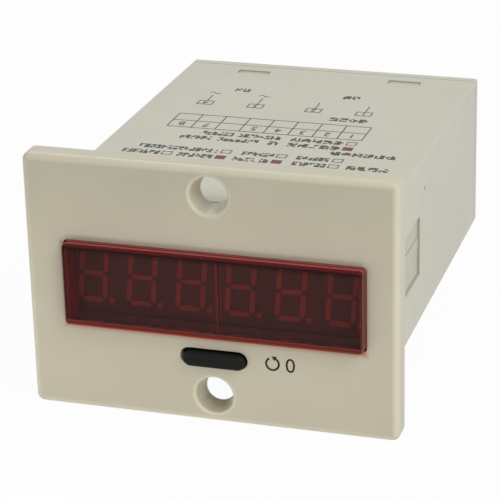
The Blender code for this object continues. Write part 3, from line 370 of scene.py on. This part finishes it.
def arithmetic(material, operation, first, second=None):
    """Result of one sum on values or sockets."""
    node = add_node(material, "ShaderNodeMath", operation=operation)
    for place, value in enumerate((first, second)):
        if value is None:
            continue
        if isinstance(value, (int, float)):
            node.inputs[place].default_value = value
        else:
            link(material, value, node.inputs[place])
    return node.outputs["Value"]


def plus(material, first, second):
    """Sum of two values or sockets."""
    return arithmetic(material, "ADD", first, second)


def minus(material, first, second):
    """Difference of two values or sockets."""
    return arithmetic(material, "SUBTRACT", first, second)


def times(material, first, second):
    """Product of two values or sockets."""
    return arithmetic(material, "MULTIPLY", first, second)


def away_from(material, socket, middle):
    """Distance of a coordinate from a middle value."""
    return arithmetic(material, "ABSOLUTE", minus(material, socket, middle))


def apart(material, socket, point):
    """Distance of a place from a point."""
    node = add_node(material, "ShaderNodeVectorMath", operation="DISTANCE")
    link(material, socket, node.inputs[0])
    node.inputs[1].default_value = point
    return node.outputs["Value"]


def tinted(colour, factor):
    """A colour made lighter or darker."""
    return tuple(channel * factor for channel in colour)


def on_side(y, z):
    """Point on the right side of the drafted case, from millimetres back and up."""
    place = FRONT_FACE_Y + y * MM
    width = SLEEVE_HIGH.x - CASE_DRAFT * (place - SLEEVE_LOW.y)
    return Vector((width, place, BEZEL_MIDDLE_Z + z * MM))


def bezel_painted_light(material, tone):
    """Painted highlights on the edges and hole mouths, and a painted red glow and shadow round
    the window.
    """
    x, y, z = axes(material)
    back = minus(material, y, FRONT_FACE_Y)
    side = minus(material, BEZEL_HIGH.x, away_from(material, x, 0.0))
    end = minus(material, BEZEL_HIGH.z - BEZEL_MIDDLE_Z, away_from(material, z, BEZEL_MIDDLE_Z))
    reach = plus(material, arithmetic(material, "MINIMUM", side, end), back)
    edge = spread(material, reach, *EDGE_HIGHLIGHT_REACH, 1.0, 0.0)
    flat = add_node(material, "ShaderNodeCombineXYZ")
    link(material, x, flat.inputs["X"])
    link(material, z, flat.inputs["Z"])
    for level in (-1, 1):
        hole = (HOLE_X, 0.0, BEZEL_MIDDLE_Z + level * HOLE_RISE)
        outside = minus(material, apart(material, flat.outputs["Vector"], hole), MOUTH_RADIUS)
        mouth_highlight = spread(material, plus(material, outside, back), *MOUTH_HIGHLIGHT_REACH, MOUTH_HIGHLIGHT_SHARE, 0.0)
        edge = arithmetic(material, "MAXIMUM", edge, mouth_highlight)
    # Painted highlights on the rounded edges and hole mouths
    tone = blend_colours(material, edge, tone, EDGE_HIGHLIGHT_COLOUR)
    # Painted red glow and shadow round the window, shifted to the left and down
    beside = minus(material, away_from(material, x, LENS_MIDDLE.x - RED_GLOW_SHIFT), LENS_SIDE)
    above = minus(material, away_from(material, z, LENS_MIDDLE.z - RED_GLOW_DROP), LENS_RISE)
    outside = arithmetic(material, "MAXIMUM", beside, above)
    near = spread(material, outside, 0.0, RED_GLOW_REACH, 1.0, 0.0)
    return blend_colours(material, times(material, near, near), tone, RED_GLOW_SHADE_COLOUR)


def moulded(name, colour, roughness, grain=GRAIN_SCALE, specular=0.5, farther=None, painted_light=None,
            specks=()):
    """Moulded plastic: fine grain, slow changes of tone and gloss, painted light from a given
    function, a second colour past a depth (painted shade on deep parts), and dirt.
    """
    material, shader = empty_material(name)
    tone = blend_colours(material, clouds(material, TONE_SCALE, 3.0),
                         tinted(colour, 1 - TONE_SHARE), tinted(colour, 1 + TONE_SHARE))
    # Painted highlights, glow and shade, where a function for them is given
    if painted_light is not None:
        tone = painted_light(material, tone)
    # A second colour past a depth; the darker one is painted shade on parts that lie deep
    if farther is not None:
        start, other = farther
        past = spread(material, axes(material)[1], start, start + FARTHER_FADE, 0.0, 1.0)
        tone = blend_colours(material, past, tone, other)
    for place, radius, shade in specks:
        fade = [radius * share for share in SPECK_FADE]
        dirt = spread(material, apart(material, position(material), place), *fade, 1.0, 0.0)
        tone = blend_colours(material, dirt, tone, tinted(colour, shade))
    link(material, tone, shader.inputs["Base Color"])
    shader.inputs["Specular IOR Level"].default_value = specular
    gloss = clouds(material, GLOSS_SCALE, 3.0, roughness - GLOSS_SHARE, roughness + GLOSS_SHARE)
    link(material, gloss, shader.inputs["Roughness"])
    add_bump(material, shader, noise(material, grain, 2.0), GRAIN_DEPTH)
    return material


def metal(name, colour, roughness, brush=None):
    """Plated or rolled metal with a fine grain, brushed where its scale is given by axis."""
    material, shader = empty_material(name)
    shader.inputs["Metallic"].default_value = 1.0
    grain = noise(material, METAL_SCALE, 3.0, brush)
    tone = blend_colours(material, grain, tinted(colour, 0.85), tinted(colour, 1.05))
    link(material, tone, shader.inputs["Base Color"])
    gloss = spread(material, grain, *NOISE_RANGE, roughness - 0.06, roughness + 0.08)
    link(material, gloss, shader.inputs["Roughness"])
    add_bump(material, shader, grain, METAL_DEPTH)
    return material


def red_acrylic():
    """Clear red front plate, between walls that are too deep to see through, coloured with
    painted highlights, a painted orange glow and painted shade.
    """
    material, shader = empty_material("red_acrylic")
    x, y, z = axes(material)
    across = away_from(material, x, LENS_MIDDLE.x)
    rise = away_from(material, z, LENS_MIDDLE.z)
    depth = minus(material, y, LENS_LOW.y)
    bottom, top = LENS_MIDDLE.z - LENS_RISE, LENS_MIDDLE.z + LENS_RISE
    level = spread(material, z, bottom, top, 0.0, 1.0)

    # Where the plate is clear: inside a rim that is wider at the bottom than at the top
    front_rim = times(material, spread(material, depth, *LENS_PLATE_END, 1.0, 0.0),
                      spread(material, level, *LENS_RIM_LEVELS, LENS_BOTTOM_RIM, LENS_TOP_RIM))
    back_rim = spread(material, depth, *LENS_PLATE_END, 0.0, LENS_HOLLOW_RIM)
    rim = plus(material, front_rim, back_rim)
    from_top = minus(material, LENS_RISE, plus(material, rise, rim))
    from_side = minus(material, LENS_SIDE - LENS_SIDE_RIM, across)
    clear = times(material, spread(material, from_side, 0.0, LENS_FADE, 0.0, 1.0),
                  spread(material, from_top, 0.0, LENS_FADE, 0.0, 1.0))

    # The hollow behind the plate, whose walls mirror the digits
    hollow_side = LENS_SIDE - LENS_HOLLOW_RIM + LENS_HOLLOW_MARGIN
    hollow_rise = LENS_RISE - LENS_HOLLOW_RIM + LENS_HOLLOW_MARGIN
    hollow = times(material, arithmetic(material, "LESS_THAN", across, hollow_side),
                   arithmetic(material, "LESS_THAN", rise, hollow_rise))
    behind = times(material, hollow,
                   arithmetic(material, "GREATER_THAN", depth, LENS_BACK_START))
    inner = times(material, hollow,
                  arithmetic(material, "GREATER_THAN", depth, LENS_WALL_START))

    # Rim colours with a painted orange glow, painted highlights, painted shade and painted light
    # at the seat
    wall = colour_run(material, level, LENS_FRONT_GLOW_SHADE_RUN)
    for start, low, side, high in LENS_BANDS_AND_HIGHLIGHTS:
        past = spread(material, depth, start * MM, (start + LENS_BAND_FADE) * MM, 0.0, 1.0)
        run = tuple(zip(LENS_BAND_LEVELS, (low, side, side, high)))
        wall = blend_colours(material, past, wall, colour_run(material, level, run))
    wall = blend_colours(material, behind, wall, colour_run(material, level, LENS_BACK_SHADE_RUN))
    wall = blend_colours(material, inner, wall, LENS_INNER_WALL)
    tint = blend_colours(material, clouds(material, LENS_TONE_SCALE, 2.0),
                         LENS_TINT, tinted(LENS_TINT, 1.06))
    # Painted shade under the top edge of the clear plate
    under_edge_shade = spread(material, level, *LENS_PAINTED_SHADE_LEVELS, 0.0, 1.0)
    tint = blend_colours(material, under_edge_shade, tint, LENS_PAINTED_SHADE)
    link(material, blend_colours(material, clear, wall, tint), shader.inputs["Base Color"])
    link(material, times(material, inner, minus(material, 1.0, clear)), shader.inputs["Metallic"])
    link(material, clear, shader.inputs["Transmission Weight"])
    shader.inputs["Roughness"].default_value = 0.05
    shader.inputs["IOR"].default_value = LENS_BEND
    add_bump(material, shader, noise(material, LENS_WAVE_SCALE, 1.0), LENS_WAVE_DEPTH)
    return material


def display_front():
    """Dark module face whose raised bars and end edges are pale epoxy."""
    material, shader = empty_material("display_front")
    x, y, _ = axes(material)
    bars = arithmetic(material, "LESS_THAN", y, MODULE_LOW.y + SEGMENT_RELIEF)
    mottled = clouds(material, MODULE_TONE_SCALE, 2.0)
    face = blend_colours(material, mottled, tinted(MODULE_FACE, 0.9), tinted(MODULE_FACE, 1.1))
    epoxy = blend_colours(material, mottled,
                          tinted(SEGMENT_COLOUR, 0.93), tinted(SEGMENT_COLOUR, 1.07))
    tone = blend_colours(material, bars, face, epoxy)
    for edge in (MODULE_LOW.x, MODULE_HIGH.x, MODULE_END_HIGH.x):
        near = spread(material, away_from(material, x, edge), *MODULE_EDGE, 1.0, 0.0)
        tone = blend_colours(material, near, tone, tinted(SEGMENT_COLOUR, 0.9))
    link(material, tone, shader.inputs["Base Color"])
    shader.inputs["Roughness"].default_value = 0.6
    add_bump(material, shader, noise(material, MODULE_GRAIN_SCALE, 2.0), MODULE_GRAIN_DEPTH)
    return material


def circuit_board():
    """Green solder mask with the faint relief of tracks."""
    material, shader = empty_material("circuit_board")
    tracks = add_node(material, "ShaderNodeTexVoronoi", Scale=TRACK_SCALE, distance="MANHATTAN")
    link(material, position(material), tracks.inputs["Vector"])
    lines = spread(material, tracks.outputs["Distance"], 0.30, 0.36, 0.0, 1.0)
    tone = blend_colours(material, lines, MASK_COLOUR, TRACK_COLOUR)
    link(material, tone, shader.inputs["Base Color"])
    shader.inputs["Roughness"].default_value = 0.35
    add_bump(material, shader, lines, TRACK_DEPTH)
    return material


def wound_copper():
    """Enamelled wire laid in close turns."""
    material, shader = empty_material("wound_copper")
    wave = add_node(material, "ShaderNodeTexWave", Scale=WIRE_SCALE, bands_direction="Z",
                    Distortion=0.6)
    link(material, position(material), wave.inputs["Vector"])
    tone = blend_colours(material, wave.outputs["Fac"], WIRE_LOW_COLOUR, WIRE_HIGH_COLOUR)
    link(material, tone, shader.inputs["Base Color"])
    shader.inputs["Metallic"].default_value = 0.8
    shader.inputs["Roughness"].default_value = 0.3
    add_bump(material, shader, wave.outputs["Fac"], WIRE_DEPTH)
    return material


def ink(name, colour):
    """Printed ink, a little uneven."""
    material, shader = empty_material(name)
    patchy = spread(material, noise(material, INK_SCALE, 3.0), 0.35, 0.7, 0.0, 1.0)
    tone = blend_colours(material, patchy, colour, tuple(channel + 0.02 for channel in colour))
    link(material, tone, shader.inputs["Base Color"])
    shader.inputs["Roughness"].default_value = 0.5
    shader.inputs["Specular IOR Level"].default_value = 0.25
    return material


CASE_PLASTIC = moulded(
    "case_plastic", CASE_COLOUR, 0.45,
    specks=[(on_side(y, z), radius * MM, shade) for y, z, radius, shade in SIDE_SPECKS])
BLACK_INK = ink("black_ink", BLACK_INK_COLOUR)
RED_INK = ink("red_ink", RED_INK_COLOUR)

# Materials of the seen nodes, then those of the rest by their slot
NODE_MATERIALS = {
    # The bezel's arms, past its thickness, take the darker painted shade colour; its face holds
    # painted highlights and a painted red glow and shadow
    "front_bezel": moulded("bezel_plastic", BEZEL_COLOUR, 0.38, painted_light=bezel_painted_light,
                           farther=(FRONT_FACE_Y + BEZEL_THICK, ARM_SHADE_COLOUR)),
    "case_sleeve": CASE_PLASTIC,
    # The cover's hooks take the darker painted shade colour; only its rear end has the case's
    # colour
    "rear_cover": moulded("cover_plastic", HOOK_SHADE_COLOUR, 0.45,
                          farther=(SLEEVE_HIGH.y - HOOK_LENGTH, CASE_COLOUR)),
    "lens": red_acrylic(),
    "reset_button": moulded("button_plastic", BUTTON_COLOUR, 0.35, specular=0.15),
}
SLOT_MATERIALS = {
    "cream_plastic": CASE_PLASTIC,
    "black_plastic": moulded("black_plastic_moulded", BLACK_COLOUR, 0.45),
    "display_face": display_front(),
    "board_green": circuit_board(),
    "plated_metal": metal("nickel_plated", NICKEL_COLOUR, 0.28),
    "core_steel": metal("core_laminations", CORE_COLOUR, 0.45, brush=CORE_BRUSH),
    "copper_wire": wound_copper(),
    "bobbin_plastic": moulded("bobbin_moulded", BOBBIN_COLOUR, 0.5),
    "capacitor_sleeve": moulded("can_sleeve", CAN_COLOUR, 0.3, grain=CAN_GRAIN_SCALE),
    "film_box": moulded("film_box_moulded", FILM_COLOUR, 0.35),
}


def dress_nodes():
    """Give every CAD node its own procedural material."""
    slots = {entry["node"]: entry["material_slot"] for entry in frame["record"]["subparts"]}
    for name, node in frame["nodes"].items():
        material = NODE_MATERIALS.get(name) or SLOT_MATERIALS[slots[name]]
        for slot in node.material_slots:
            slot.material = material


def on_top(x, y, height):
    """Point over the top of the drafted case, from millimetres across and back."""
    place = FRONT_FACE_Y + y * MM
    return Vector((x * MM, place, SLEEVE_HIGH.z - CASE_DRAFT * (place - SLEEVE_LOW.y) + height))


def on_front(x, z, height):
    """Point before the bezel's front face, from millimetres across and up."""
    return Vector((x * MM, FRONT_FACE_Y - height, BEZEL_MIDDLE_Z + z * MM))


def ink_patch(bm, surface, outline):
    """Thin slab of ink over a flat outline, on a surface."""
    low = [bm.verts.new(surface(u, v, INK_GAP)) for u, v in outline]
    high = [bm.verts.new(surface(u, v, INK_THICK)) for u, v in outline]
    bm.faces.new(low[::-1])
    bm.faces.new(high)
    for i, vert in enumerate(low):
        after = (i + 1) % len(low)
        bm.faces.new((vert, low[after], high[after], high[i]))


def ink_bar(bm, surface, u0, u1, v0, v1):
    """Rectangle of ink."""
    ink_patch(bm, surface, [(u0, v0), (u1, v0), (u1, v1), (u0, v1)])


def ink_frame(bm, surface, u, v, width, height):
    """Rectangle drawn with a thin line."""
    left, right = u - width / 2, u + width / 2
    low, high = v - height / 2, v + height / 2
    ink_bar(bm, surface, left, right, low, low + LINE)
    ink_bar(bm, surface, left, right, high - LINE, high)
    ink_bar(bm, surface, left, left + LINE, low + LINE, high - LINE)
    ink_bar(bm, surface, right - LINE, right, low + LINE, high - LINE)


def ink_ribbon(bm, surface, path, width):
    """Band of ink along a path."""
    sides = []
    for i, (u, v) in enumerate(path):
        before = path[max(i - 1, 0)]
        after = path[min(i + 1, len(path) - 1)]
        run = Vector((after[0] - before[0], after[1] - before[1])).normalized() * width / 2
        sides.append(((u - run.y, v + run.x), (u + run.y, v - run.x)))
    for near, far in zip(sides, sides[1:]):
        ink_patch(bm, surface, [near[0], near[1], far[1], far[0]])


def ink_words(bm, surface, start, end, v, kind, draw):
    """A word as a row of small cells, with no letters in it, read from the back."""
    pitch, columns = WORD_KINDS[kind]
    count = max(1, round((start - end) / pitch))
    step = (start - end) / count
    cell = step * LETTER_SHARE / columns
    tall = TOP_TEXT_HEIGHT / WORD_ROWS
    for letter in range(count):
        left = start - letter * step
        for column in range(columns):
            for row in range(WORD_ROWS):
                if draw.random() < EMPTY_SHARE:
                    continue
                u = left - column * cell
                low = v - TOP_TEXT_HEIGHT / 2 + row * tall
                ink_bar(bm, surface, u - cell * CELL_SHARE[0], u, low, low + tall * CELL_SHARE[1])


def ink_number(bm, surface, text, u, v, height, turned):
    """A plain number, centred on (u, v), turned round where it is read from the back."""
    curve = bpy.data.curves.new("number", "FONT")
    curve.body = text
    curve.size = height / DIGIT_SHARE
    holder = bpy.data.objects.new("number", curve)
    bpy.context.scene.collection.objects.link(holder)
    graph = bpy.context.evaluated_depsgraph_get()
    mesh = bpy.data.meshes.new_from_object(holder.evaluated_get(graph))
    places = [(vertex.co.x, vertex.co.y) for vertex in mesh.vertices]
    across, along = [(min(values) + max(values)) / 2 for values in zip(*places)]
    sign = -1 if turned else 1
    for polygon in mesh.polygons:
        points = [places[i] for i in polygon.vertices]
        ink_patch(bm, surface, [(u + sign * (x - across), v + sign * (y - along))
                                for x, y in points])
    bpy.data.objects.remove(holder)
    bpy.data.meshes.remove(mesh)
    bpy.data.curves.remove(curve)


def finish_piece(name, bm, material):
    """Turn a bmesh into a piece that rides on the case."""
    bmesh.ops.recalc_face_normals(bm, faces=bm.faces)
    mesh = bpy.data.meshes.new(name)
    bm.to_mesh(mesh)
    bm.free()
    mesh.materials.append(material)
    piece = bpy.data.objects.new(name, mesh)
    bpy.context.scene.collection.objects.link(piece)
    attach(piece, "case")


def print_top():
    """The connection table and the check boxes on the top of the case."""
    draw = random.Random(WORD_SEED)
    bm = bmesh.new()
    for y, *words in ROW_WORDS:
        for start, end, kind in words:
            ink_words(bm, on_top, start, end, y, kind, draw)
    for x, y in OPEN_BOXES:
        ink_frame(bm, on_top, x, y, BOX_WIDTH, BOX_HEIGHT)
    for y in (TABLE_FRONT, TABLE_MIDDLE, TABLE_BACK):
        ink_bar(bm, on_top, TABLE_LEFT, TABLE_RIGHT, y - LINE / 2, y + LINE / 2)
    step = (TABLE_RIGHT - TABLE_LEFT) / TABLE_COLUMNS
    for column in range(TABLE_COLUMNS + 1):
        x = TABLE_LEFT + column * step
        ink_bar(bm, on_top, x - LINE / 2, x + LINE / 2, TABLE_FRONT, TABLE_BACK)
    middle = (TABLE_FRONT + TABLE_MIDDLE) / 2
    for column in range(TABLE_COLUMNS):
        if column != TABLE_GAP_COLUMN:
            x = TABLE_RIGHT - (column + 0.5) * step
            ink_number(bm, on_top, str(column + 1), x, middle, TOP_TEXT_HEIGHT, True)
    box_end = TERMINAL_Y + TERMINAL_BOX[1] / 2
    for x, text in TERMINAL_MARKS:
        ink_frame(bm, on_top, x, TERMINAL_Y, *TERMINAL_BOX)
        height = TERMINAL_BOX[1] * TERMINAL_DIGIT_SHARE
        ink_number(bm, on_top, text, x, TERMINAL_Y, height, True)
        ink_bar(bm, on_top, x - LINE / 2, x + LINE / 2, box_end, LEAD_END_Y)
    for x, y in WAVE_PLACES:
        path = [(x + WAVE_LENGTH * (i / WAVE_STEPS - 0.5),
                 y + WAVE_SWING * sin(2 * pi * i / WAVE_STEPS)) for i in range(WAVE_STEPS + 1)]
        ink_ribbon(bm, on_top, path, WAVE_LINE)
    finish_piece("top_print", bm, BLACK_INK)
    bm = bmesh.new()
    for x, y in RED_BOXES:
        ink_bar(bm, on_top, x - BOX_WIDTH / 2, x + BOX_WIDTH / 2,
                y - BOX_HEIGHT / 2, y + BOX_HEIGHT / 2)
    finish_piece("top_print_marks", bm, RED_INK)


def print_front():
    """A round arrow and a zero beside the reset button."""
    bm = bmesh.new()
    start, end = RESET_TURN
    turns = [start + (end - start) * i / RESET_STEPS for i in range(RESET_STEPS + 1)]
    u, v = RESET_ARROW
    path = [(u + RESET_RADIUS * cos(turn), v + RESET_RADIUS * sin(turn)) for turn in turns]
    ink_ribbon(bm, on_front, path, RESET_STROKE)
    tip = Vector(path[0])
    ahead = Vector((-sin(start), cos(start)))
    aside = Vector((ahead.y, -ahead.x)) * ARROW_HALF_WIDTH
    arrow = [tip + ahead * ARROW_LENGTH, tip - aside, tip + aside]
    ink_patch(bm, on_front, [tuple(point) for point in arrow])
    ink_number(bm, on_front, "0", *RESET_ZERO, RESET_HEIGHT, False)
    finish_piece("reset_mark", bm, BLACK_INK)


def camera_like(material):
    """1 for rays from the camera, or for those that a mirror or the window sends on."""
    rays = add_node(material, "ShaderNodeLightPath")
    seen = rays.outputs["Is Camera Ray"]
    for name in ("Is Glossy Ray", "Is Transmission Ray"):
        seen = arithmetic(material, "MAXIMUM", seen, rays.outputs[name])
    return seen


def make_floor():
    """Pale floor that the camera sees as white, with the counter's soft shadow."""
    bm = bmesh.new()
    bmesh.ops.create_grid(bm, x_segments=1, y_segments=1, size=FLOOR_SIZE / 2)
    mesh = bpy.data.meshes.new("floor")
    bm.to_mesh(mesh)
    bm.free()
    floor = bpy.data.objects.new("floor", mesh)
    bpy.context.scene.collection.objects.link(floor)
    floor.location.z = -FLOOR_GAP
    material, shader = empty_material("floor")
    shader.inputs["Base Color"].default_value = (FLOOR_COLOUR, FLOOR_COLOUR, FLOOR_COLOUR, 1.0)
    shader.inputs["Roughness"].default_value = 1.0
    shader.inputs["Specular IOR Level"].default_value = 0.0
    glow = add_node(material, "ShaderNodeEmission", Strength=1.0)
    mix = add_node(material, "ShaderNodeMixShader")
    link(material, times(material, camera_like(material), FLOOR_GLOW), mix.inputs["Fac"])
    link(material, shader.outputs["BSDF"], mix.inputs[1])
    link(material, glow.outputs["Emission"], mix.inputs[2])
    output = material.node_tree.nodes["Material Output"]
    link(material, mix.outputs["Shader"], output.inputs["Surface"])
    mesh.materials.append(material)


def make_world():
    """White surroundings, dimmer as a light than as a background, most so before the counter."""
    world = bpy.data.worlds.new("studio")
    world.use_nodes = True
    bpy.context.scene.world = world
    background = world.node_tree.nodes["Background"]
    background.inputs["Color"].default_value = (1.0, 1.0, 1.0, 1.0)
    parts = add_node(world, "ShaderNodeSeparateXYZ")
    way = add_node(world, "ShaderNodeTexCoord").outputs["Generated"]
    link(world, way, parts.inputs["Vector"])
    light = spread(world, parts.outputs["Y"], -1.0, 1.0, WORLD_FRONT_LIGHT, WORLD_BACK_LIGHT)
    strength = arithmetic(world, "MAXIMUM", light, camera_like(world))
    link(world, strength, background.inputs["Strength"])


def soft_light(name, place, aim, width, height, power):
    """Lamp with a flat face, turned to a point."""
    lamp = bpy.data.lights.new(name, "AREA")
    lamp.shape = "RECTANGLE"
    lamp.size = width
    lamp.size_y = height
    lamp.energy = power
    holder = bpy.data.objects.new(name, lamp)
    bpy.context.scene.collection.objects.link(holder)
    holder.location = place
    holder.rotation_euler = (Vector(aim) - Vector(place)).to_track_quat("-Z", "Y").to_euler()
    return holder


def make_lamps():
    """A large softbox before the counter, a small one behind it, and a strip at the floor."""
    soft_light("key_softbox", *KEY_SOFTBOX)
    soft_light("back_softbox", *BACK_SOFTBOX)
    strip = soft_light("low_strip", *LOW_STRIP)
    strip.visible_camera = False
    strip.visible_glossy = False
    strip.visible_transmission = False


def make_camera():
    """Camera at the photograph's viewing angle."""
    back = Vector((sin(CAMERA_AZIMUTH) * cos(CAMERA_ELEVATION),
                   -cos(CAMERA_AZIMUTH) * cos(CAMERA_ELEVATION),
                   sin(CAMERA_ELEVATION)))
    level = Vector((0.0, 0.0, 1.0)).cross(back).normalized()
    upright = back.cross(level)
    right = level * cos(CAMERA_ROLL) + upright * sin(CAMERA_ROLL)
    up = upright * cos(CAMERA_ROLL) - level * sin(CAMERA_ROLL)
    centre = Vector((0.0, FRONT_FACE_Y, BEZEL_MIDDLE_Z))
    place = centre + back * CAMERA_DISTANCE + right * CAMERA_RIGHT + up * CAMERA_UP
    lens = bpy.data.cameras.new("camera")
    lens.sensor_width = SENSOR_WIDTH
    lens.lens = CAMERA_FOCUS_PIXELS * SENSOR_WIDTH / PICTURE_PIXELS
    lens.clip_start = 0.01
    camera = bpy.data.objects.new("camera", lens)
    bpy.context.scene.collection.objects.link(camera)
    turn = Matrix((right, up, back)).transposed().to_4x4()
    camera.matrix_world = Matrix.Translation(place) @ turn
    bpy.context.scene.camera = camera


dress_nodes()
print_top()
print_front()
make_floor()
make_world()
make_lamps()
make_camera()
bpy.context.scene.view_settings.view_transform = "Standard"
